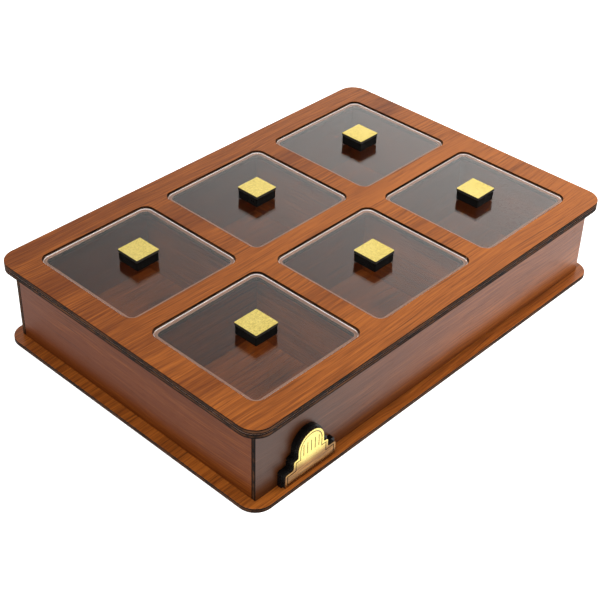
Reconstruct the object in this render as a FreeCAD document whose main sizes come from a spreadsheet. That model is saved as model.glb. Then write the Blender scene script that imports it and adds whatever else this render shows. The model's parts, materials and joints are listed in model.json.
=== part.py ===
"""An organizer box with six lidded compartments for glasses, made of laser-cut boards.

Millimetres. The origin is the centre of the base plate's underside. +X runs along the long side,
-Y is the front, which carries the plaque, and +Z is up.
"""
import FreeCAD, Part
import math
import os
import Sketcher

Vector = FreeCAD.Vector
Constraint = Sketcher.Constraint

# The driving sizes: alias, value, what it is.
SIZES = [
    ("plate_length", 320, "base plate and top frames, along X"),
    ("plate_width", 220, "base plate and top frames, along Y"),
    ("plate_radius", 12, "corner radius of the base plate and the top frames"),
    ("board", 3, "thickness of every wooden board"),
    ("overhang", 7.5, "how far the plates stand out past the walls"),
    ("wall_height", 51, "height of the walls and dividers"),
    ("rim_ends", 17.75, "top frame's rim beside the openings, at the left and right ends"),
    ("rim_sides", 17.5, "top frame's rim beside the openings, at the front and back"),
    ("rib", 14, "top frame's bar between two openings"),
    ("opening_radius", 6.5, "corner radius of the top frame's openings"),
    ("ledge", 3, "how far the ledge frame stands in under each lid"),
    ("slot_clearance", 0.1, "extra width of the slots where the dividers cross"),
    ("lid_thickness", 2, "clear lid pane"),
    ("lid_clearance", 0.7, "gap between a lid pane and its opening, all round"),
    ("knob_side", 17, "side of the square knob block"),
    ("knob_height", 6, "height of the knob block"),
    ("cap_side", 17.5, "side of the square cap on the knob block"),
    ("gold_sheet", 2, "thickness of the gold-faced sheet of the knob caps and the plaque's face"),
    ("plaque_offset", 38, "plaque's centre from the front wall's left end"),
    ("backing_thickness", 3, "the plaque's black backing"),
    ("plaque_border", 1.2, "how far the backing shows round the face"),
    ("plaque_corner", 1.5, "corner radius of the plaque's outline"),
    ("foot_length", 40, "plaque's lowest and widest step"),
    ("foot_height", 9.5, "height of that step"),
    ("shoulder_length", 27, "plaque's middle step"),
    ("shoulder_height", 6, "height of that step above the foot"),
    ("crest_length", 20, "width of the plaque's round-headed crest"),
    ("crest_side", 4.5, "straight side of the crest, below its half circle"),
    ("groove_inset", 1.3, "from the face's outline to the engraved border line"),
    ("groove_width", 0.6, "width of the engraved lines"),
    ("groove_depth", 0.3, "depth of the engraved lines"),
    ("flute_height", 8, "height of the upright lines engraved in the crest"),
    ("flute_pitch", 3, "from one upright line to the next"),
]
FLUTES = 5


class Measure:
    """A length as an expression on the sheet, with its present value for a sketch's first guess."""

    def __init__(self, text, value):
        self.text = text
        self.value = value

    def _join(self, sign, other, value):
        return Measure(f"({self.text} {sign} {other.text})", value)

    def __add__(self, other):
        return self._join("+", other, self.value + other.value)

    def __sub__(self, other):
        return self._join("-", other, self.value - other.value)

    def __neg__(self):
        return Measure(f"(-1 * {self.text})", -self.value)

    def __mul__(self, number):
        return Measure(f"({self.text} * {number})", self.value * number)

    def __truediv__(self, number):
        return Measure(f"({self.text} / {number})", self.value / number)


def smaller(first, second):
    """The smaller of two measures."""
    return Measure(f"min({first.text}; {second.text})", min(first.value, second.value))


size = {alias: Measure(f"Sizes.{alias}", value) for alias, value, _ in SIZES}
ZERO = Measure("0", 0)

# Heights of the layers, from the floor up.
walls_foot = size["board"]
ledge_level = walls_foot + size["wall_height"]
lid_level = ledge_level + size["board"]
lid_top = lid_level + size["lid_thickness"]
knob_top = lid_top + size["knob_height"]

# Outer faces of the walls, from the middle of the box.
wall_end = size["plate_length"] / 2 - size["overhang"]
wall_front = size["plate_width"] / 2 - size["overhang"]

# The six openings of the top frame, three along X and two along Y.
COLUMNS = {"left": -1, "middle": 0, "right": 1}
ROWS = {"front": -1, "back": 1}
opening_length = (size["plate_length"] - size["rim_ends"] * 2 - size["rib"] * 2) / len(COLUMNS)
opening_width = (size["plate_width"] - size["rim_sides"] * 2 - size["rib"]) / len(ROWS)
pitch_length = opening_length + size["rib"]
pitch_width = opening_width + size["rib"]

document = FreeCAD.newDocument("organizer")


def make_sheet():
    """Write the driving sizes to the spreadsheet, one row each."""
    sheet = document.addObject("Spreadsheet::Sheet", "Sizes")
    for row, (alias, value, meaning) in enumerate(SIZES, start=1):
        sheet.set(f"A{row}", alias)
        sheet.set(f"B{row}", str(value))
        sheet.setAlias(f"B{row}", alias)
        sheet.set(f"C{row}", meaning)
    document.recompute()


def make_body(label, x=ZERO, y=ZERO, z=ZERO):
    """Start a body at a bound place; its label names its file."""
    body = document.addObject("PartDesign::Body", label)
    body.Label = label
    for axis, place in (("x", x), ("y", y), ("z", z)):
        body.setExpression(f"Placement.Base.{axis}", place.text)
    return body


def origin_feature(body, role):
    """One of the body's own origin planes or axes, by its role."""
    return next(feature for feature in body.Origin.OriginFeatures if feature.Role == role)


def make_sketch(body, name, role, offset=ZERO):
    """A sketch on one of the body's origin planes, moved along the plane's normal by offset."""
    sketch = body.newObject("Sketcher::SketchObject", name)
    sketch.AttachmentSupport = [(origin_feature(body, role), "")]
    sketch.MapMode = "FlatFace"
    sketch.setExpression("AttachmentOffset.Base.z", offset.text)
    return sketch


def bind(sketch, kind, *targets_and_measure):
    """Add a dimension to a sketch and tie it to the sheet."""
    *targets, measure = targets_and_measure
    index = sketch.addConstraint(Constraint(kind, *targets, measure.value))
    sketch.setExpression(f"Constraints[{index}]", measure.text)


def pin(sketch, geometry, end, x, y):
    """Hold one point of a sketch at (x, y) from the sketch's origin."""
    for kind, axis, place in (("DistanceX", -2, x), ("DistanceY", -1, y)):
        if place is ZERO:
            sketch.addConstraint(Constraint("PointOnObject", geometry, end, axis))
        else:
            bind(sketch, kind, -1, 1, geometry, end, place)


def polygon(sketch, corners):
    """A closed outline of straight lines through the corners."""
    lines = []
    for (x, y), (next_x, next_y) in zip(corners, corners[1:] + corners[:1]):
        start = Vector(x.value, y.value, 0)
        finish = Vector(next_x.value, next_y.value, 0)
        lines.append(sketch.addGeometry(Part.LineSegment(start, finish)))
    for line, following, (x, y) in zip(lines, lines[1:] + lines[:1], corners):
        sketch.addConstraint(Constraint("Coincident", line, 2, following, 1))
        pin(sketch, line, 1, x, y)


def rectangle(sketch, length, bottom, top, middle=ZERO):
    """A rectangle of a given length about middle, from bottom to top."""
    left = middle - length / 2
    right = middle + length / 2
    polygon(sketch, [(left, bottom), (right, bottom), (right, top), (left, top)])


def rounded_rectangle(sketch, length, width, radius, x=ZERO, y=ZERO):
    """A rectangle about (x, y) whose corners are quarter circles."""
    round_x = length / 2 - radius
    round_y = width / 2 - radius
    lines = []
    arcs = []
    for quarter in range(4):
        turn = math.radians(90 * quarter)
        along = Vector(round(math.cos(turn)), round(math.sin(turn)), 0)
        outwards = Vector(along.y, -along.x, 0)
        half_side = Vector(along.x * round_x.value, along.y * round_y.value, 0)
        reach_x = outwards.x * length.value / 2
        reach_y = outwards.y * width.value / 2
        middle = Vector(x.value + reach_x, y.value + reach_y, 0)
        lines.append(sketch.addGeometry(Part.LineSegment(middle - half_side, middle + half_side)))
        centre = middle + half_side - outwards * radius.value
        circle = Part.Circle(centre, Vector(0, 0, 1), radius.value)
        arc = Part.ArcOfCircle(circle, turn - math.pi / 2, turn)
        arcs.append(sketch.addGeometry(arc))
    for quarter in range(4):
        following = lines[(quarter + 1) % 4]
        sketch.addConstraint(Constraint("Tangent", lines[quarter], 2, arcs[quarter], 1))
        sketch.addConstraint(Constraint("Tangent", arcs[quarter], 2, following, 1))
        direction = "Vertical" if quarter % 2 else "Horizontal"
        sketch.addConstraint(Constraint(direction, lines[quarter]))
        if quarter:
            sketch.addConstraint(Constraint("Equal", arcs[0], arcs[quarter]))
    bind(sketch, "Radius", arcs[0], radius)
    bind(sketch, "DistanceX", arcs[2], 3, arcs[0], 3, round_x * 2)
    bind(sketch, "DistanceY", arcs[3], 3, arcs[1], 3, round_y * 2)
    pin(sketch, arcs[3], 3, x - round_x, y - round_y)


def pad(body, sketch, thickness, midplane=False):
    """Raise a sketch into a board."""
    feature = body.newObject("PartDesign::Pad", "Pad")
    feature.Profile = sketch
    feature.Midplane = midplane
    feature.setExpression("Length", thickness.text)
    document.recompute()
    return feature


def cut_through(body, sketch):
    """Cut a sketch right through the body, and make sure that it removed something."""
    before = body.Shape.Volume
    feature = body.newObject("PartDesign::Pocket", "Cut")
    feature.Profile = sketch
    feature.Type = "ThroughAll"
    feature.Midplane = True
    document.recompute()
    check_removed(body, before)
    return feature


def check_removed(body, before):
    """Stop if a cut took nothing away."""
    if body.Shape.Volume > before - 1e-6:
        raise RuntimeError(f"{body.Label}: a cut removed nothing")


def make_base_plate():
    body = make_body("base_plate")
    sketch = make_sketch(body, "Outline", "XY_Plane")
    rounded_rectangle(sketch, size["plate_length"], size["plate_width"], size["plate_radius"])
    pad(body, sketch, size["board"])
    return body


def make_frame(label, level, inset):
    """A plate with six rounded openings, each smaller all round by inset than the top frame's."""
    body = make_body(label, z=level)
    outline = make_sketch(body, "Outline", "XY_Plane")
    rounded_rectangle(outline, size["plate_length"], size["plate_width"], size["plate_radius"])
    pad(body, outline, size["board"])
    opening = make_sketch(body, "Opening", "XY_Plane")
    rounded_rectangle(
        opening,
        opening_length - inset * 2,
        opening_width - inset * 2,
        size["opening_radius"] - inset,
        x=-pitch_length,
        y=-pitch_width / 2,
    )
    cut = cut_through(body, opening)
    pattern = body.newObject("PartDesign::LinearPattern", "Openings")
    pattern.Originals = [cut]
    pattern.Direction = (origin_feature(body, "X_Axis"), [""])
    pattern.Occurrences = len(COLUMNS)
    pattern.setExpression("Length", (pitch_length * 2).text)
    pattern.Direction2 = (origin_feature(body, "Y_Axis"), [""])
    pattern.Occurrences2 = len(ROWS)
    pattern.setExpression("Length2", pitch_width.text)
    body.Tip = pattern
    document.recompute()
    return body


def make_upright(label, role, length, x=ZERO, y=ZERO):
    """A board standing on the base plate, cut in the XZ or the YZ plane."""
    body = make_body(label, x, y, walls_foot)
    sketch = make_sketch(body, "Outline", role)
    rectangle(sketch, length, ZERO, size["wall_height"])
    pad(body, sketch, size["board"], midplane=True)
    return body


def make_walls():
    """Front and back walls run the full length; the end walls stand between them."""
    half_board = size["board"] / 2
    end_length = (wall_front - size["board"]) * 2
    return [
        make_upright("front_wall", "XZ_Plane", wall_end * 2, y=half_board - wall_front),
        make_upright("back_wall", "XZ_Plane", wall_end * 2, y=wall_front - half_board),
        make_upright("left_wall", "YZ_Plane", end_length, x=half_board - wall_end),
        make_upright("right_wall", "YZ_Plane", end_length, x=wall_end - half_board),
    ]


def make_dividers():
    """The long divider is slotted from above and the cross dividers from below, so they lock."""
    slot_width = size["board"] + size["slot_clearance"]
    half_height = size["wall_height"] / 2
    crossings = {"left": -pitch_length / 2, "right": pitch_length / 2}

    long_divider = make_upright("long_divider", "XZ_Plane", (wall_end - size["board"]) * 2)
    for side, place in crossings.items():
        slot = make_sketch(long_divider, f"Slot_{side}", "XZ_Plane")
        rectangle(slot, slot_width, half_height, size["wall_height"], middle=place)
        cut_through(long_divider, slot)

    dividers = [long_divider]
    for side, place in crossings.items():
        length = (wall_front - size["board"]) * 2
        divider = make_upright(f"{side}_cross_divider", "YZ_Plane", length, x=place)
        slot = make_sketch(divider, "Slot", "YZ_Plane")
        rectangle(slot, slot_width, ZERO, half_height)
        cut_through(divider, slot)
        dividers.append(divider)
    return dividers


def make_square(label, side_x, side_y, radius, thickness, x, y, z):
    """A flat piece about (x, y), with rounded corners where radius is given."""
    body = make_body(label, x, y, z)
    sketch = make_sketch(body, "Outline", "XY_Plane")
    if radius:
        rounded_rectangle(sketch, side_x, side_y, radius)
    else:
        rectangle(sketch, side_x, -side_y / 2, side_y / 2)
    pad(body, sketch, thickness)
    return body


def make_lid(row, column):
    """A clear pane that drops into its opening, with a square knob glued on and a gold-faced cap."""
    name = f"{row}_{column}"
    x = pitch_length * COLUMNS[column]
    y = pitch_width / 2 * ROWS[row]
    gap = size["lid_clearance"]
    pane_length = opening_length - gap * 2
    pane_width = opening_width - gap * 2
    pane_radius = size["opening_radius"] - gap
    knob = size["knob_side"]
    cap = size["cap_side"]
    return [
        make_square(
            f"{name}_lid", pane_length, pane_width, pane_radius, size["lid_thickness"], x, y, lid_level
        ),
        make_square(f"{name}_knob", knob, knob, None, size["knob_height"], x, y, lid_top),
        make_square(f"{name}_knob_cap", cap, cap, None, size["gold_sheet"], x, y, knob_top),
    ]


def plaque_outline(sketch, grow):
    """Foot, shoulder and round-headed crest, each wider on both sides and higher by grow."""
    foot = size["foot_length"] / 2 + grow
    shoulder = size["shoulder_length"] / 2 + grow
    crest = size["crest_length"] / 2 + grow
    foot_top = size["foot_height"] + grow
    shoulder_top = size["foot_height"] + size["shoulder_height"] + grow
    arc_level = size["foot_height"] + size["shoulder_height"] + size["crest_side"]
    bottom = smaller(grow, ZERO) * -1
    right_side = [
        (foot, bottom),
        (foot, foot_top),
        (shoulder, foot_top),
        (shoulder, shoulder_top),
        (crest, shoulder_top),
        (crest, arc_level),
    ]
    left_side = [(-x, y) for x, y in reversed(right_side)]
    lines = []
    for side in (right_side, left_side):
        for (x, y), (next_x, next_y) in zip(side, side[1:]):
            start = Vector(x.value, y.value, 0)
            finish = Vector(next_x.value, next_y.value, 0)
            lines.append(sketch.addGeometry(Part.LineSegment(start, finish)))
            pin(sketch, lines[-1], 1, x, y)
    half = len(right_side) - 1
    for index, line in enumerate(lines[:-1]):
        if index != half - 1:
            sketch.addConstraint(Constraint("Coincident", line, 2, lines[index + 1], 1))
    pin(sketch, lines[half - 1], 2, crest, arc_level)
    pin(sketch, lines[-1], 2, -foot, bottom)
    circle = Part.Circle(Vector(0, arc_level.value, 0), Vector(0, 0, 1), crest.value)
    arc = sketch.addGeometry(Part.ArcOfCircle(circle, 0, math.pi))
    sketch.addConstraint(Constraint("Tangent", lines[half - 1], 2, arc, 1))
    sketch.addConstraint(Constraint("Coincident", arc, 2, lines[half], 1))
    closing = Part.LineSegment(
        Vector(-foot.value, bottom.value, 0), Vector(foot.value, bottom.value, 0)
    )
    base = sketch.addGeometry(closing)
    sketch.addConstraint(Constraint("Coincident", lines[-1], 2, base, 1))
    sketch.addConstraint(Constraint("Coincident", base, 2, lines[0], 1))


def round_plaque(body, radius):
    """Round the plaque's square corners, all but the two that stand on the base plate."""
    feature = body.Tip
    corners = []
    for number, edge in enumerate(feature.Shape.Edges, start=1):
        if not isinstance(edge.Curve, Part.Line):
            continue
        first, last = (vertex.Point for vertex in edge.Vertexes)
        across = abs(first.x - last.x) < 1e-6 and abs(first.z - last.z) < 1e-6
        smooth = abs(first.z - crest_level(feature)) < 1e-6
        if across and first.z > 1e-6 and not smooth:
            corners.append(f"Edge{number}")
    fillet = body.newObject("PartDesign::Fillet", "Corners")
    fillet.Base = (feature, corners)
    step = (size["shoulder_length"] - size["crest_length"]) / 2
    fillet.setExpression("Radius", smaller(radius, step * 0.45).text)
    document.recompute()


def crest_level(feature):
    """Height at which the crest's straight sides meet its half circle."""
    box = feature.Shape.BoundBox
    arcs = [edge for edge in feature.Shape.Edges if isinstance(edge.Curve, Part.Circle)]
    return box.ZMax - arcs[0].Curve.Radius


def engrave(body, sketch):
    """Cut a sketch on the plaque's front into its face, as deep as the engraving."""
    before = body.Shape.Volume
    feature = body.newObject("PartDesign::Pocket", "Engraving")
    feature.Profile = sketch
    feature.setExpression("Length", size["groove_depth"].text)
    document.recompute()
    check_removed(body, before)
    return feature


def make_plaque():
    """A stepped plaque that stands on the base plate against the front wall."""
    x = size["plaque_offset"] - wall_end
    backing = make_body("plaque_backing", x, -wall_front, walls_foot)
    sketch = make_sketch(backing, "Outline", "XZ_Plane")
    plaque_outline(sketch, size["plaque_border"])
    pad(backing, sketch, size["backing_thickness"])
    round_plaque(backing, size["plaque_corner"])

    face = make_body("plaque_face", x, -wall_front - size["backing_thickness"], walls_foot)
    sketch = make_sketch(face, "Outline", "XZ_Plane")
    plaque_outline(sketch, ZERO)
    pad(face, sketch, size["gold_sheet"])
    round_plaque(face, size["plaque_corner"])

    border = make_sketch(face, "Border_line", "XZ_Plane", offset=size["gold_sheet"])
    plaque_outline(border, -size["groove_inset"])
    plaque_outline(border, -(size["groove_inset"] + size["groove_width"]))
    engrave(face, border)

    flute = make_sketch(face, "Flute", "XZ_Plane", offset=size["gold_sheet"])
    flute_foot = size["foot_height"] + size["shoulder_height"]
    first = size["flute_pitch"] * (-(FLUTES - 1) / 2)
    rectangle(flute, size["groove_width"], flute_foot, flute_foot + size["flute_height"], middle=first)
    cut = engrave(face, flute)
    pattern = face.newObject("PartDesign::LinearPattern", "Flutes")
    pattern.Originals = [cut]
    pattern.Direction = (origin_feature(face, "X_Axis"), [""])
    pattern.Occurrences = FLUTES
    pattern.setExpression("Length", (size["flute_pitch"] * (FLUTES - 1)).text)
    face.Tip = pattern
    document.recompute()
    return [backing, face]


def check_document(pieces):
    """Stop if an object failed to compute, or a piece is missing, invalid or not one solid."""
    for item in document.Objects:
        if "Invalid" in item.State or "Error" in item.State:
            raise RuntimeError(f"{item.Label}: {item.State}")
    for piece in pieces:
        if piece.Shape.isNull() or not piece.Shape.isValid() or len(piece.Shape.Solids) != 1:
            raise RuntimeError(f"{piece.Label}: no valid solid")


def export(pieces):
    """Write each piece to parts/, named by its label."""
    os.makedirs("parts", exist_ok=True)
    for piece in pieces:
        piece.Shape.exportStep(os.path.join("parts", f"{piece.Label}.step"))
        box = piece.Shape.BoundBox
        print(f"{piece.Label:24s} {box.XLength:7.2f} {box.YLength:7.2f} {box.ZLength:6.2f}")


make_sheet()
pieces = [make_base_plate()]
pieces += make_walls()
pieces += make_dividers()
pieces.append(make_frame("ledge_frame", ledge_level, size["ledge"]))
pieces.append(make_frame("top_frame", lid_level, ZERO))
for row in ROWS:
    for column in COLUMNS:
        pieces += make_lid(row, column)
pieces += make_plaque()
document.recompute()
check_document(pieces)
export(pieces)
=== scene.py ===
# %% [markdown]
# # A laser-cut organizer for glasses
# The object is a low walnut box with six compartments, two rows of three. Each
# compartment has a loose clear lid with a black and gold knob, and a small plaque
# stands on the base in front of the box. This lesson dresses the CAD frame of the
# box: pieces whose shape needs softer edges are made again, and the rest keep
# their CAD shape and get a finish. Everything is in metres, Z up.

import json
import math

import bpy
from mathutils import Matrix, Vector


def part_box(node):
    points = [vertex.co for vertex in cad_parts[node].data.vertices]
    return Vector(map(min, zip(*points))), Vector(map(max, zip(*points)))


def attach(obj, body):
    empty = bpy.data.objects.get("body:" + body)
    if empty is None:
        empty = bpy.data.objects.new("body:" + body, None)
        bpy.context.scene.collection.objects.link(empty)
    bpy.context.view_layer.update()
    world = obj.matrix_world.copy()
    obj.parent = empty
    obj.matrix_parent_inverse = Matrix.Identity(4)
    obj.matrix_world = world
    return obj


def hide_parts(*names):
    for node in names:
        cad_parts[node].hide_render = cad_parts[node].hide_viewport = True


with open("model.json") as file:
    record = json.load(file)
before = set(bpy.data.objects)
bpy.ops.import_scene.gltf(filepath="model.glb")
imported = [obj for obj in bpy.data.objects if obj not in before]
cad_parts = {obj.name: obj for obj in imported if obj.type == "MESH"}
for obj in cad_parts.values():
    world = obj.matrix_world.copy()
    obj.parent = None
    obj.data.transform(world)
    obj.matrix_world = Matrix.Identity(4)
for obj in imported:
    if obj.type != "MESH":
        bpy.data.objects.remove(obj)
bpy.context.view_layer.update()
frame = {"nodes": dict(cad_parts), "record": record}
bodies = frame["record"]["behaviour"]["bodies"]
lid_bodies = [name for name in bodies if name.startswith("lid_")]
print("bodies:", sorted(bodies))

# %% [markdown]
# ## Camera
# The camera looks down on the near left corner of the box through a long lens, as
# small products are often shown. Its three axes are worked out from where it
# stands, the point it looks at and a slight roll, and they are the columns of its
# matrix. A Track To constraint could aim it too, but has no roll of its own.

# %% Camera
EYE = Vector((-0.49786, -0.44971, 0.50766))
TARGET = Vector((-0.03147, -0.01948, 0.03))
ROLL = math.radians(1.55)
FOCAL_LENGTH = 77.55
SENSOR = 36

forward = (TARGET - EYE).normalized()
level_right = forward.cross(Vector((0, 0, 1))).normalized()
level_up = level_right.cross(forward)
right = level_right * math.cos(ROLL) + level_up * math.sin(ROLL)
up = level_up * math.cos(ROLL) - level_right * math.sin(ROLL)

lens = bpy.data.cameras.new("camera")
lens.sensor_width = SENSOR
lens.lens = FOCAL_LENGTH
lens.clip_start = 0.01
camera = bpy.data.objects.new("camera", lens)
bpy.context.scene.collection.objects.link(camera)
turn = camera.matrix_world.to_3x3()
turn.col[0] = right
turn.col[1] = up
turn.col[2] = -forward
camera.matrix_world = turn.to_4x4()
camera.location = EYE
bpy.context.scene.camera = camera
print("camera at", [round(v, 3) for v in camera.location])

# %% [markdown]
# ## Node trees from plain arithmetic
# Finishes and shapes are both node trees. They could be wired by hand, one link at
# a time, but a pattern is easier to read as a formula. So `Wire` is one output of a
# node, and arithmetic on wires adds Math nodes. `Graph` adds every other node
# through one method: its type, then its settings, then the values or wires of its
# sockets, and which output to go on with.


# %% Wires and graphs
class Wire:
    """One output socket. Arithmetic on it adds Math nodes to its graph."""

    def __init__(self, graph, socket):
        self.graph = graph
        self.socket = socket

    def maths(self, operation, *values):
        inputs = dict(enumerate(values))
        return self.graph.add("ShaderNodeMath", {"operation": operation}, inputs)

    def __add__(self, other):
        return self.maths("ADD", self, other)

    def __sub__(self, other):
        return self.maths("SUBTRACT", self, other)

    def __rsub__(self, other):
        return self.maths("SUBTRACT", other, self)

    def __mul__(self, other):
        return self.maths("MULTIPLY", self, other)

    def __truediv__(self, other):
        return self.maths("DIVIDE", self, other)

    def __lt__(self, other):
        return self.maths("LESS_THAN", self, other)

    def __abs__(self):
        return self.maths("ABSOLUTE", self)

    __radd__ = __add__
    __rmul__ = __mul__


class Graph:
    """A node tree of materials or shapes, and the one way to add nodes to it."""

    def __init__(self, tree):
        self.tree = tree

    def add(self, kind, settings=None, sockets=None, out=0):
        node = self.tree.nodes.new(kind)
        for name, value in (settings or {}).items():
            setattr(node, name, value)
        for name, value in (sockets or {}).items():
            if isinstance(value, Wire):
                self.tree.links.new(value.socket, node.inputs[name])
            elif value is not None:
                node.inputs[name].default_value = value
        return Wire(self, node.outputs[out]) if node.outputs else node

    def ramp(self, value, low, high, start=0, end=1):
        """The value stretched from low..high to start..end, eased at both ends."""
        settings = {"interpolation_type": "SMOOTHSTEP"}
        sockets = {0: value, 1: low, 2: high, 3: start, 4: end}
        return self.add("ShaderNodeMapRange", settings, sockets)

    def blend(self, factor, first, second, way="MIX"):
        """Two colours mixed, or multiplied, by a factor."""
        settings = {"data_type": "RGBA", "blend_type": way}
        return self.add("ShaderNodeMix", settings, {0: factor, 6: first, 7: second}, out=2)

    def place(self):
        """Where a point lies on the object, as three wires in metres."""
        return self.parts(self.add("ShaderNodeTexCoord", out="Object"))

    def vector(self, x=0, y=0, z=0):
        return self.add("ShaderNodeCombineXYZ", None, {0: x, 1: y, 2: z})

    def parts(self, vector):
        """The three components of a vector, as wires."""
        node = self.add("ShaderNodeSeparateXYZ", None, {0: vector}).socket.node
        return [Wire(self, output) for output in node.outputs]

    def noise(self, x, y, z, detail=2, roughness=0.5, distortion=0):
        sockets = {
            "Vector": self.vector(x, y, z),
            "Scale": 1,
            "Detail": detail,
            "Roughness": roughness,
            "Distortion": distortion,
        }
        return self.add("ShaderNodeTexNoise", None, sockets)


def new_finish(name):
    """An empty material and its graph."""
    material = bpy.data.materials.new(name)
    material.use_nodes = True
    material.node_tree.nodes.clear()
    return material, Graph(material.node_tree)


def close_finish(graph, shader):
    graph.add("ShaderNodeOutputMaterial", None, {"Surface": shader})


print("graph helpers ready")

# %% [markdown]
# ## Light
# Three things light the box, as in a product studio. The floor gives off a little
# light of its own, as a lit translucent table does, so shadows on it stay faint.
# The room is a smooth gradient, bright low down on the right, which is the pale
# sheen on the lids, and dim on the left and overhead. Two soft panels hang above:
# a window on the left, and a near panel on the right that lights the compartments.
# The near panel is hidden from reflections, because its square outline would show
# in the polished lids.

# %% Floor
floor_finish, g = new_finish("studio_white")
floor_shader = g.add(
    "ShaderNodeBsdfPrincipled",
    None,
    {
        "Base Color": (0.93, 0.93, 0.93, 1),
        "Roughness": 0.9,
        "Specular IOR Level": 0.1,
        "Emission Color": (1, 1, 1, 1),
        "Emission Strength": 0.60,
    },
)
close_finish(g, floor_shader)

REACH = 12.0
floor_mesh = bpy.data.meshes.new("studio_floor")
corners = [(-REACH, -REACH, 0), (REACH, -REACH, 0), (REACH, REACH, 0), (-REACH, REACH, 0)]
floor_mesh.from_pydata(corners, [], [(0, 1, 2, 3)])
floor_mesh.materials.append(floor_finish)
floor = bpy.data.objects.new("studio_floor", floor_mesh)
bpy.context.scene.collection.objects.link(floor)
print("floor of", 2 * REACH, "m")

# %% Room light
world = bpy.data.worlds.new("studio_room")
world.use_nodes = True
world.node_tree.nodes.clear()
bpy.context.scene.world = world
DIM_SIDE = 0.46
BRIGHT_SIDE = 1.82
WARM_WHITE = (1, 0.985, 0.955, 1)
g = Graph(world.node_tree)
direction = g.parts(g.add("ShaderNodeTexCoord", out="Generated"))
low_right = direction[0] * 0.81 - direction[2] * 0.58
brightness = g.ramp(low_right, 0.0, 0.40, DIM_SIDE, BRIGHT_SIDE)
sky = g.add("ShaderNodeBackground", None, {"Color": WARM_WHITE, "Strength": brightness})
g.add("ShaderNodeOutputWorld", None, {"Surface": sky})
print("room light from", DIM_SIDE, "to", BRIGHT_SIDE)


# %% Soft panels
def soft_light(name, place, aim, size, watts, colour=(1, 1, 1)):
    """A square soft panel that faces a point."""
    lamp = bpy.data.lights.new(name, "AREA")
    lamp.shape = "SQUARE"
    lamp.size = size
    lamp.energy = watts
    lamp.color = colour
    holder = bpy.data.objects.new(name, lamp)
    bpy.context.scene.collection.objects.link(holder)
    holder.location = place
    holder.rotation_euler = (Vector(place) - Vector(aim)).to_track_quat("Z", "Y").to_euler()
    return holder


soft_light("window", place=(-0.62, -0.22, 1.20), aim=(0, 0, 0.03), size=0.24, watts=7.5)
near_panel = soft_light(
    "near_panel",
    place=(0.36, -0.16, 0.66),
    aim=(0.05, -0.03, 0.03),
    size=0.36,
    watts=2.9,
    colour=(1, 0.98, 0.95),
)
near_panel.visible_glossy = False
near_panel.visible_transmission = False
print("window and near panel set")

# %% [markdown]
# ## Sheet parts
# Nearly every part of the box is cut from flat sheet by a laser: an outline with
# rounded corners, perhaps a grid of openings, and one thickness. They could be
# modelled one at a time, but one rule covers them all, so one Geometry Nodes tree
# draws the outline, sets out the openings on a grid of points, fills between
# them and gives the sheet its thickness. A Bevel then takes the knife edge off.


# %% One tree for every cut sheet
def add_input(tree, name, kind, value=None):
    socket = tree.interface.new_socket(name=name, in_out="INPUT", socket_type=kind)
    if value is not None:
        socket.default_value = value


CORNER_STEPS = 10
SAME_POINT = 0.000001


def rounded_outline(g, length, width, radius):
    """A rounded rectangle as a closed curve."""
    box = g.add("GeometryNodeCurvePrimitiveQuadrilateral", None, {"Width": length, "Height": width})
    sockets = {"Curve": box, "Radius": radius, "Count": CORNER_STEPS}
    return g.add("GeometryNodeFilletCurve", {"mode": "POLY"}, sockets)


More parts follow.
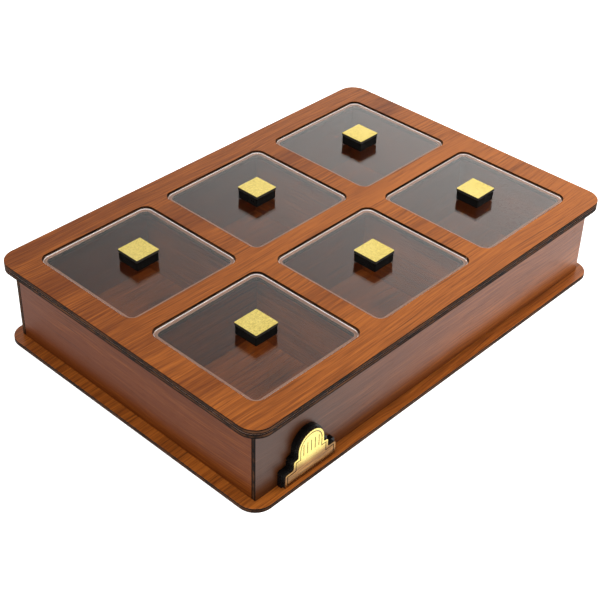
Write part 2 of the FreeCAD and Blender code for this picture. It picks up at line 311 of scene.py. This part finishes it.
def cut_sheet_tree():
    """The tree that turns sizes into one sheet part with its openings."""
    tree = bpy.data.node_groups.new("cut_sheet", "GeometryNodeTree")
    add_input(tree, "Geometry", "NodeSocketGeometry")
    for name in ("Length", "Width", "Corner Radius", "Thickness"):
        add_input(tree, name, "NodeSocketFloat", 0.01)
    add_input(tree, "Turn", "NodeSocketRotation")
    add_input(tree, "Place", "NodeSocketVector")
    for name in ("Opening", "Opening Radius", "Pitch"):
        add_input(tree, name, "NodeSocketFloat", 0.01)
    add_input(tree, "Columns", "NodeSocketInt", 0)
    add_input(tree, "Rows", "NodeSocketInt", 0)
    add_input(tree, "Face Finish", "NodeSocketMaterial")
    add_input(tree, "Edge Finish", "NodeSocketMaterial")
    tree.interface.new_socket(name="Geometry", in_out="OUTPUT", socket_type="NodeSocketGeometry")

    g = Graph(tree)
    group = tree.nodes.new("NodeGroupInput")
    take = {output.name: Wire(g, output) for output in group.outputs if output.name}

    outline = rounded_outline(g, take["Length"], take["Width"], take["Corner Radius"])
    opening = rounded_outline(g, take["Opening"], take["Opening"], take["Opening Radius"])
    sockets = {
        "Size X": (take["Columns"] - 1) * take["Pitch"],
        "Size Y": (take["Rows"] - 1) * take["Pitch"],
        "Vertices X": take["Columns"],
        "Vertices Y": take["Rows"],
    }
    centres = g.add("GeometryNodeMeshGrid", None, sockets)
    openings = g.add("GeometryNodeInstanceOnPoints", None, {"Points": centres, "Instance": opening})
    join = tree.nodes.new("GeometryNodeJoinGeometry")
    tree.links.new(outline.socket, join.inputs[0])
    tree.links.new(openings.socket, join.inputs[0])
    curves = g.add("GeometryNodeRealizeInstances", None, {"Geometry": Wire(g, join.outputs[0])})
    face = g.add("GeometryNodeFillCurve", {"mode": "NGONS"}, {"Curve": curves})

    lift = g.vector(0, 0, take["Thickness"])
    sockets = {"Mesh": face, "Offset": lift, "Offset Scale": 1.0, "Individual": False}
    raised = g.add("GeometryNodeExtrudeMesh", {"mode": "FACES"}, sockets)
    cut_side = Wire(g, raised.socket.node.outputs["Side"])
    under = g.add("GeometryNodeFlipFaces", None, {"Mesh": face})
    shell = tree.nodes.new("GeometryNodeJoinGeometry")
    tree.links.new(raised.socket, shell.inputs[0])
    tree.links.new(under.socket, shell.inputs[0])
    sockets = {"Geometry": Wire(g, shell.outputs[0]), "Distance": SAME_POINT}
    closed = g.add("GeometryNodeMergeByDistance", None, sockets)
    sockets = {"Geometry": closed, "Translation": take["Place"], "Rotation": take["Turn"]}
    placed = g.add("GeometryNodeTransform", None, sockets)

    real = g.add("GeometryNodeRealizeInstances", None, {"Geometry": placed})
    dressed = g.add(
        "GeometryNodeSetMaterial", None, {"Geometry": real, "Material": take["Face Finish"]}
    )
    sockets = {"Geometry": dressed, "Selection": cut_side, "Material": take["Edge Finish"]}
    edged = g.add("GeometryNodeSetMaterial", None, sockets)
    g.add("NodeGroupOutput", None, {"Geometry": edged})
    return tree


CUT_SHEET = cut_sheet_tree()
print("cut_sheet tree has", len(CUT_SHEET.nodes), "nodes")


# %% Cutting one sheet part
# A lying sheet needs no turn. A standing one is tipped up, and a side wall is also
# turned to run front to back. The key is the axis that the thickness lies on.
QUARTER = math.radians(90)
TURNS = {2: (0, 0, 0), 1: (QUARTER, 0, 0), 0: (QUARTER, 0, QUARTER)}
SHARP = math.radians(50)


def thin_side(node):
    """The corners of a CAD node, its size, and the axis that its thickness lies on."""
    low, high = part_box(node)
    size = high - low
    return low, high, size, min(range(3), key=lambda axis: size[axis])


def cut_sheet(name, node, face, edge, radius, bevel, cut_bevel=False, **openings):
    """A sheet part with the size and place of a CAD node, as a plain mesh.

    With cut_bevel, its arris gets the finish of the cut edge, not of the face.
    """
    low, high, size, through = thin_side(node)
    place = (low + high) / 2
    place[through] = high.y if through == 1 else low[through]
    values = {
        "Length": size.y if through == 0 else size.x,
        "Width": size.y if through == 2 else size.z,
        "Corner Radius": radius,
        "Thickness": size[through],
        "Turn": TURNS[through],
        "Place": place,
        "Face Finish": face,
        "Edge Finish": edge,
        **openings,
    }
    blank = bpy.data.objects.new(name + "_blank", bpy.data.meshes.new(name + "_blank"))
    bpy.context.scene.collection.objects.link(blank)
    modifier = blank.modifiers.new("cut", "NODES")
    modifier.node_group = CUT_SHEET
    for item in CUT_SHEET.interface.items_tree:
        if item.in_out == "INPUT" and item.name in values:
            modifier[item.identifier] = values[item.name]
    soften = blank.modifiers.new("arris", "BEVEL")
    soften.width = bevel
    soften.segments = 2
    soften.limit_method = "ANGLE"
    soften.angle_limit = SHARP
    soften.harden_normals = True
    if cut_bevel:
        soften.material = 1
    blank.update_tag()
    bpy.context.view_layer.update()
    ready = blank.evaluated_get(bpy.context.evaluated_depsgraph_get())
    mesh = bpy.data.meshes.new_from_object(ready)
    mesh.name = name
    bpy.data.objects.remove(blank)
    piece = bpy.data.objects.new(name, mesh)
    bpy.context.scene.collection.objects.link(piece)
    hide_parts(node)
    return piece


left_lid_low, left_lid_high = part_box("front_left_lid")
LID = left_lid_high.x - left_lid_low.x
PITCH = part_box("front_middle_lid")[0].x - left_lid_low.x
print("lids of", round(LID * 1000, 2), "mm repeat every", round(PITCH * 1000, 2), "mm")

# %% [markdown]
# ## Walnut
# The boards are 3 mm sheet with a walnut face: fine straight streaks that run with
# the longest side, a few darker ones, open pores, and painted light: the tone grows
# paler towards the right and the front of the box. A wave texture draws even bands,
# which such a face doesn't show, so the grain is noise stretched far along one
# direction, in five sizes. One pattern serves every board, drawn in the board's own
# directions, and each board starts from another place in it, as boards cut from
# different parts of a sheet do. More painted light and shade is laid over it where
# it is needed: each wall is darker as painted shade, the faces that look into the
# compartments get painted shade, the ledge that the lids rest on is paler as painted
# light, and the left end of the front wall is darker as painted shade.

# %% Walnut tones
LIGHT_WOOD = (0.400, 0.116, 0.0160, 1)
DEEP_WOOD = (0.120, 0.026, 0.0035, 1)
DARK_STREAK = (0.050, 0.012, 0.0025, 1)
# Painted shade: darkens the faces that look into the compartments.
INSIDE_SHADE_TINT = (0.67, 0.56, 0.50, 1)
# Painted light: the paler colour that the ledge under the panes is mixed towards.
PAINTED_LEDGE_LIGHT = (0.60, 0.42, 0.34, 1)
# Painted shade: darkens the front wall at its left end, from the first x position below to the
# second.
LEFT_END_SHADE = (0.42, 0.50, 0.60, 1)
LEFT_SHADE_FROM = 0.04
LEFT_SHADE_FULL = -0.17
# Painted light: how much paler every board gets towards the front, per metre.
PAINTED_LIGHT_TO_FRONT = 0.80
GRAIN_DEPTH = 0.0002

HALF_LENGTH = -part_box("left_wall")[0].x
HALF_WIDTH = -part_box("front_wall")[0].y
WALL_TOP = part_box("left_wall")[1].z
print("the walls end", round(WALL_TOP * 1000, 1), "mm above the floor")


# %% Walnut face
def board_directions(node):
    """Which axes the grain, the width and the thickness of a board lie on."""
    size, through = thin_side(node)[2:]
    along = max(range(3), key=lambda axis: size[axis])
    return along, 3 - through - along, through


def inside_faces(g, place, facing, through):
    """1 on a face that looks into the compartments, 0 elsewhere."""
    inside_shade = 1.0
    for axis, reach in enumerate((HALF_LENGTH, HALF_WIDTH)):
        if axis == through:
            inside_shade = ((place[axis] * facing[axis]) < 0) * inside_shade
        else:
            inside_shade = (abs(place[axis]) < reach) * inside_shade
    return inside_shade * (place[2] < WALL_TOP)


def walnut(
    node, seed, shine, figure=1.0, light_and_shade_tone=0.0, painted_light_drift=0.0, inside_shade=None, ledge_light=0, shaded_left_end=False
):
    """The face of one board, with the grain along its longest side.

    Shine is how much it reflects and figure how strong its markings are. The tone
    offset is painted light above zero and painted shade below, the drift is painted
    light that grows towards the right, the inside share is painted shade on the faces
    that look into the compartments, or None to find them, the ledge share is painted
    light on the ledge, and the left-end switch paints shade on the left end of a board.
    """
    along, across, through = board_directions(node)
    material, g = new_finish("walnut_" + node)
    place = g.place()
    # The seed moves the board to another place in the pattern.
    u = place[along] + seed * 0.731
    v = place[across] + seed * 0.173

    # Every pattern changes few times a metre along the grain and many times across.
    wander = g.noise(u * 6, v * 9, seed, detail=2) - 0.5
    v = v + wander * 0.018
    broad = g.noise(u * 2, v * 34, seed + 3, detail=2)
    streak = g.noise(u * 10, v * 620, seed + 5, detail=4, roughness=0.75)
    fibre = g.noise(u * 34, v * 1700, seed + 8, detail=2, roughness=0.6)
    dark = g.noise(u * 14, v * 820, seed + 11, detail=1)
    pore = g.noise(u * 120, v * 2600, seed + 14, detail=1)

    dark_mask = g.ramp(dark, 0.60, 0.72)
    pore_mask = g.ramp(pore, 0.60, 0.70) * g.ramp(streak, 0.62, 0.40)
    marks = (streak - 0.5) * 0.70 + (fibre - 0.5) * 1.05
    # Painted light and shade: the board's tone offset makes walls darker and the ledge paler.
    tone = (broad - 0.5) * 0.60 + marks * figure + (0.46 + light_and_shade_tone)
    # Painted light: the tone grows paler towards the right and towards the front.
    tone = tone + place[0] * painted_light_drift - place[1] * PAINTED_LIGHT_TO_FRONT
    colour = g.blend(g.ramp(tone, 0.12, 0.88), DEEP_WOOD, LIGHT_WOOD)
    colour = g.blend(dark_mask * (0.55 * figure), colour, DARK_STREAK)
    colour = g.blend(pore_mask * (0.40 * figure), colour, DARK_STREAK)
    # Painted shade on the left end of the front wall.
    if shaded_left_end:
        colour = g.blend(g.ramp(place[0], LEFT_SHADE_FROM, LEFT_SHADE_FULL), colour, LEFT_END_SHADE, "MULTIPLY")
    if inside_shade is None:
        facing = g.parts(g.add("ShaderNodeNewGeometry", out="Normal"))
        inside_shade = inside_faces(g, place, facing, through)
    # Painted shade on the faces that look into the compartments.
    colour = g.blend(inside_shade, colour, INSIDE_SHADE_TINT, "MULTIPLY")
    # Painted light on the ledge under the panes.
    if ledge_light:
        colour = g.blend(ledge_light, colour, PAINTED_LEDGE_LIGHT)

    sheen = g.ramp(streak, 0.2, 0.8, 0.38, 0.30) + pore_mask * 0.15
    relief = fibre * 0.5 + streak * 0.5 - pore_mask * 0.8
    sockets = {"Strength": 0.12, "Distance": GRAIN_DEPTH, "Height": relief}
    bump = g.add("ShaderNodeBump", None, sockets)
    sockets = {
        "Base Color": colour,
        "Roughness": sheen,
        "Normal": bump,
        "Specular IOR Level": shine,
    }
    close_finish(g, g.add("ShaderNodeBsdfPrincipled", None, sockets))
    return material


print("walnut face ready")

# %% [markdown]
# ## Burnt edges
# The laser chars what it cuts, so the narrow sides of a board are almost black,
# with a little brown left in patches of the core. Painting them dark all over would
# be simpler, but the core is what makes them read as cut board. The finish measures
# how deep a point lies between the two skins of its own board, and noise along the
# edge decides where the brown shows.

# %% Burnt edge
CHAR = (0.0025, 0.0015, 0.001, 1)
BROWN_CORE = (0.095, 0.040, 0.018, 1)


def burnt_edge(node, seed):
    """The cut edge of one board: charred at both skins, brown in the core."""
    low, high, size, through = thin_side(node)
    along, across, through = board_directions(node)
    material, g = new_finish("burnt_" + node)
    place = g.place()
    depth = (place[through] - low[through]) / size[through]
    scorch = g.noise(place[along] * 260, place[across] * 260, depth * 0.6 + seed, detail=2)
    patch = g.noise(place[along] * 30, place[across] * 30, seed + 4, detail=2)
    core = g.ramp(abs(depth - 0.5), 0.34, 0.14) * g.ramp(scorch + patch, 0.65, 1.3)
    sockets = {"Strength": 0.3, "Distance": GRAIN_DEPTH, "Height": scorch}
    bump = g.add("ShaderNodeBump", None, sockets)
    sockets = {
        "Base Color": g.blend(core, CHAR, BROWN_CORE),
        "Roughness": g.ramp(scorch, 0.3, 0.7, 0.55, 0.75),
        "Normal": bump,
        "Specular IOR Level": 0.05,
    }
    close_finish(g, g.add("ShaderNodeBsdfPrincipled", None, sockets))
    return material


print("burnt edge ready")

# %% [markdown]
# ## Base, walls and frames
# The base is a plain rounded sheet, with four walls standing on it. Two pierced
# frames lie on the walls: the lower one has the smaller openings, and what shows
# of it inside the upper openings is the ledge that a lid rests on. All seven come
# out of the sheet tree. The openings follow the lids: the upper ones leave a little
# play round a lid, and the lower ones reach a ledge's width under it.

# %% Boards
PLAY = 0.0007
LEDGE = 0.003
PANE_CORNER = 0.0058
PLATE_CORNER = 0.012
WALL_CORNER = 0.0002
BOARD_ARRIS = 0.00025
FIRST_BOARD_SEED = 20

mouth = LID + 2 * PLAY
mouth_corner = PANE_CORNER + PLAY
grid = {"Columns": 3, "Rows": 2, "Pitch": PITCH}
openings = {
    "top_frame": {"Opening": mouth, "Opening Radius": mouth_corner, **grid},
    "ledge_frame": {
        "Opening": mouth - 2 * LEDGE,
        "Opening Radius": mouth_corner - LEDGE,
        **grid,
    },
}
# The tone offsets paint light and shade: the walls are darker as painted shade, the ledge is paler
# as painted light, and the drifts paint light that grows towards the right.
looks = {
    "base_plate": {"shine": 0.34, "figure": 1.2, "painted_light_drift": -0.3},
    "ledge_frame": {"shine": 0.40, "figure": 0.6, "light_and_shade_tone": 0.2, "painted_light_drift": 0.5, "ledge_light": 0.6},
    "top_frame": {"shine": 0.15, "painted_light_drift": 0.38},
    "front_wall": {
        "shine": 0.30,
        "figure": 0.8,
        "light_and_shade_tone": -0.22,
        "painted_light_drift": 0.6,
        "shaded_left_end": True,
    },
    "back_wall": {"shine": 0.40, "figure": 0.6, "light_and_shade_tone": -0.14, "painted_light_drift": 0.5},
    "left_wall": {"shine": 0.10, "light_and_shade_tone": -0.24},
    "right_wall": {"shine": 0.40, "figure": 0.6, "light_and_shade_tone": -0.12},
}
for seed, (node, look) in enumerate(looks.items(), FIRST_BOARD_SEED):
    face = walnut(node, seed, **look)
    edge = burnt_edge(node, seed)
    corner = WALL_CORNER if node.endswith("wall") else PLATE_CORNER
    cuts = openings.get(node, {})
    board = cut_sheet(node + "_board", node, face, edge, corner, BOARD_ARRIS, **cuts)
    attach(board, "box")
    print(board.name, len(board.data.polygons), "faces")

# %% [markdown]
# ## Dividers
# Three thin boards cross inside the box and lock over each other with half-lap
# slots. They could be cut again with soft edges, as the walls are, but they lie deep
# in the box, under the frames. So they keep their CAD mesh and only get the walnut,
# with painted shade all over.


# %% Dividers
def dress(node, material):
    """Gives a CAD node, whose shape stays, one finish all over."""
    part = frame["nodes"][node]
    if not part.data.materials:
        part.data.materials.append(material)
    for slot in part.material_slots:
        slot.material = material


FIRST_DIVIDER_SEED = 2
dividers = ["long_divider", "left_cross_divider", "right_cross_divider"]
for seed, node in enumerate(dividers, FIRST_DIVIDER_SEED):
    # Painted shade all over each divider, deep inside the compartments.
    dress(node, walnut(node, seed, shine=0.40, inside_shade=1.0))
print("dressed", len(dividers), "dividers")

# %% [markdown]
# ## Clear lids
# Each lid is a pane of 2 mm clear acrylic with polished faces. A plain glass shader
# would cast a black shadow into the compartment unless caustics were traced, so
# rays that look for light go through a tinted transparent shader instead. The cut
# edges are frosted. A real pane also leads light to its edges, which takes a
# renderer very long to find, so the frosted finish gives off a faint light there.

# %% Clear and frosted acrylic
ACRYLIC_IOR = 1.49


def light_passes(g, shader, tint):
    """A shader whose shadow is only as dark as a tint."""
    see_through = g.add("ShaderNodeBsdfTransparent", None, {"Color": tint})
    is_shadow = g.add("ShaderNodeLightPath", out="Is Shadow Ray")
    return g.add("ShaderNodeMixShader", None, {0: is_shadow, 1: shader, 2: see_through})


clear, g = new_finish("clear_face")
pane_glass = g.add(
    "ShaderNodeBsdfPrincipled",
    None,
    {
        "Base Color": (0.93, 0.94, 0.935, 1),
        "Roughness": 0.02,
        "IOR": ACRYLIC_IOR,
        "Transmission Weight": 1.0,
    },
)
close_finish(g, light_passes(g, pane_glass, (0.85, 0.86, 0.86, 1)))

frosted, g = new_finish("frosted_edge")
px, py, pz = g.place()
ripple = g.noise(px * 900, py * 900, pz * 60, detail=2)
edge_shader = g.add(
    "ShaderNodeBsdfPrincipled",
    None,
    {
        "Base Color": g.blend(ripple, (0.86, 0.86, 0.88, 1), (0.97, 0.96, 0.97, 1)),
        "Roughness": g.ramp(ripple, 0, 1, 0.40, 0.55),
        "IOR": ACRYLIC_IOR,
        "Transmission Weight": 0.5,
        "Emission Color": (1, 0.95, 0.95, 1),
        "Emission Strength": 0.31,
    },
)
close_finish(g, light_passes(g, edge_shader, (0.5, 0.5, 0.5, 1)))
print("clear and frosted acrylic ready")

# %% [markdown]
# ## Black acrylic
# The knob blocks and the plaque's backing are cut from black acrylic, polished like
# a piano lid. One flat black would look like a hole, so the gloss changes a little
# where fingers have smudged it, and a fine speckle of dust lifts the colour.

# %% Black acrylic
black, g = new_finish("black_acrylic_gloss")
px, py, pz = g.place()
smudge = g.noise(px * 90, py * 90, pz * 90, detail=3)
speckle = g.noise(px * 900, py * 900, pz * 900, detail=1)
black_shader = g.add(
    "ShaderNodeBsdfPrincipled",
    None,
    {
        "Base Color": g.blend(speckle, (0.004, 0.004, 0.004, 1), (0.009, 0.008, 0.008, 1)),
        "Roughness": g.ramp(smudge, 0.3, 0.7, 0.05, 0.14),
        "IOR": ACRYLIC_IOR,
        "Specular IOR Level": 0.10,
    },
)
close_finish(g, black_shader)
print("black acrylic ready")

# %% [markdown]
# ## Gold laminate
# The knob caps and the plaque's face are engraver's laminate, a gold foil on a black
# core. The laser burns the foil away, so cut sides and engraved lines show the core.
# Two materials on one mesh would need the engraving picked out face by face, so one
# finish asks instead how far a point lies from the foil's level: at that level it is
# satin gold, anywhere else it is core. At its foot the plaque's gold turns a streaked
# brown, a painted reflection of the walnut base below it.

# %% Gold laminate
FOIL_DEPTH = 0.00022
PALE_GOLD = (1.0, 0.81, 0.24, 1)
DEEP_GOLD = (0.58, 0.44, 0.09, 1)
SUNLIT_GOLD = (1.0, 0.84, 0.32, 1)
# Painted reflection: the dark and pale brown of the walnut base mirrored in the plaque's gold.
DARK_WOOD_REFLECTION = (0.120, 0.040, 0.006, 1)
PALE_WOOD_REFLECTION = (0.300, 0.130, 0.024, 1)
CORE_BLACK = (0.010, 0.009, 0.008, 1)
CORE_GREY = (0.022, 0.019, 0.016, 1)


def gold_laminate(name, facing_axis, face_level, seed, roughness, foot=None):
    """Satin gold foil on a black core, with a painted reflection of brown wood at its foot that
    fades out between two foot heights.
    """
    material, g = new_finish(name)
    place = g.place()
    px, py, pz = place
    foil = abs(place[facing_axis] - face_level) < FOIL_DEPTH
    grain = g.noise(px * 1500, py * 1500, pz * 1500, detail=2, roughness=0.7)
    cloud = g.noise(px * 60 + seed, py * 60, pz * 60, detail=2)
    gold = g.blend(g.ramp(grain, 0.25, 0.75), DEEP_GOLD, PALE_GOLD)
    gold = g.blend(g.ramp(cloud, 0.3, 0.7) * 0.25, gold, SUNLIT_GOLD)
    if foot:
        # Painted reflection: towards the foot the gold turns a streaked brown, as the walnut base
        # would mirror in it.
        wood_reflection = g.ramp(pz + cloud * 0.006, foot[0], foot[1], 1, 0)
        reflection_streaks = g.noise(px * 90, py, pz * 900, detail=3)
        brown = g.blend(g.ramp(reflection_streaks, 0.3, 0.7), DARK_WOOD_REFLECTION, PALE_WOOD_REFLECTION)
        gold = g.blend(wood_reflection * 0.96, gold, brown)
    sockets = {"Strength": 0.25, "Distance": 0.00005, "Height": grain * foil}
    bump = g.add("ShaderNodeBump", None, sockets)
    shader = g.add(
        "ShaderNodeBsdfPrincipled",
        None,
        {
            "Base Color": g.blend(foil, g.blend(grain, CORE_BLACK, CORE_GREY), gold),
            "Metallic": foil * 0.85,
            "Roughness": g.ramp(grain, 0, 1, roughness, roughness + 0.14),
            "Normal": bump,
        },
    )
    close_finish(g, shader)
    return material


print("gold laminate ready")

# %% [markdown]
# ## Lids, knobs and caps
# A lid is three pieces glued flat on each other: the pane, a black block in its
# middle to hold it by, and a gold cap on the block. They are small sheets too, so
# the same tree cuts them, with an arris as fine as each material takes. The pane's
# arris is frosted with its edge, which draws the pale line round it. Every piece
# rides on its own lid's body, so the three lift off together.

# %% Lids, knobs and caps
PANE_ARRIS = 0.0005
KNOB_CORNER = 0.0006
BLOCK_ARRIS = 0.0003
CAP_ARRIS = 0.00015
cap_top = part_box("front_left_knob_cap")[1].z
gold_top = gold_laminate("gold_cap", 2, cap_top, seed=1, roughness=0.32)
for body in lid_bodies:
    spot = body[len("lid_") :]
    knob = spot + "_knob"
    pane = cut_sheet(spot + "_pane", spot + "_lid", clear, frosted, PANE_CORNER, PANE_ARRIS, True)
    block = cut_sheet(spot + "_block", knob, black, black, KNOB_CORNER, BLOCK_ARRIS)
    cap = cut_sheet(spot + "_cap", knob + "_cap", gold_top, gold_top, KNOB_CORNER, CAP_ARRIS)
    for piece, slot in ((pane, "clear_acrylic"), (block, "black_acrylic"), (cap, "gold_laminate")):
        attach(piece, body)
print("made", len(lid_bodies), "lids with knobs")

# %% [markdown]
# ## Plaque
# A stepped arch of gold laminate stands on a black backing at the foot of the front
# wall, with a border line and five upright lines engraved in it. The engraving is
# real depth in the CAD mesh, so both pieces keep their mesh, and the laminate finish
# finds the engraved floors by itself.

# %% Plaque
# Heights on the plaque for its painted reflection: all brown below the first, all gold above the
# second.
FOOT_BROWN = 0.011
FOOT_GOLD = 0.019
face_low, face_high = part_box("plaque_face")
foot = (face_low.z + FOOT_BROWN, face_low.z + FOOT_GOLD)
dress("plaque_face", gold_laminate("gold_plaque", 1, face_low.y, seed=7, roughness=0.18, foot=foot))
dress("plaque_backing", black)
print("plaque", round((face_high.x - face_low.x) * 1000, 1), "mm wide dressed")

# %% [markdown]
# ## Colour view
# Blender's default view rolls off bright colours, as film does, and greys a white
# studio. The standard view shows the finishes as they were mixed, so a colour can
# be judged against a sample.

# %% Colour view
bpy.context.scene.view_settings.view_transform = "Standard"
print("view:", bpy.context.scene.view_settings.view_transform)
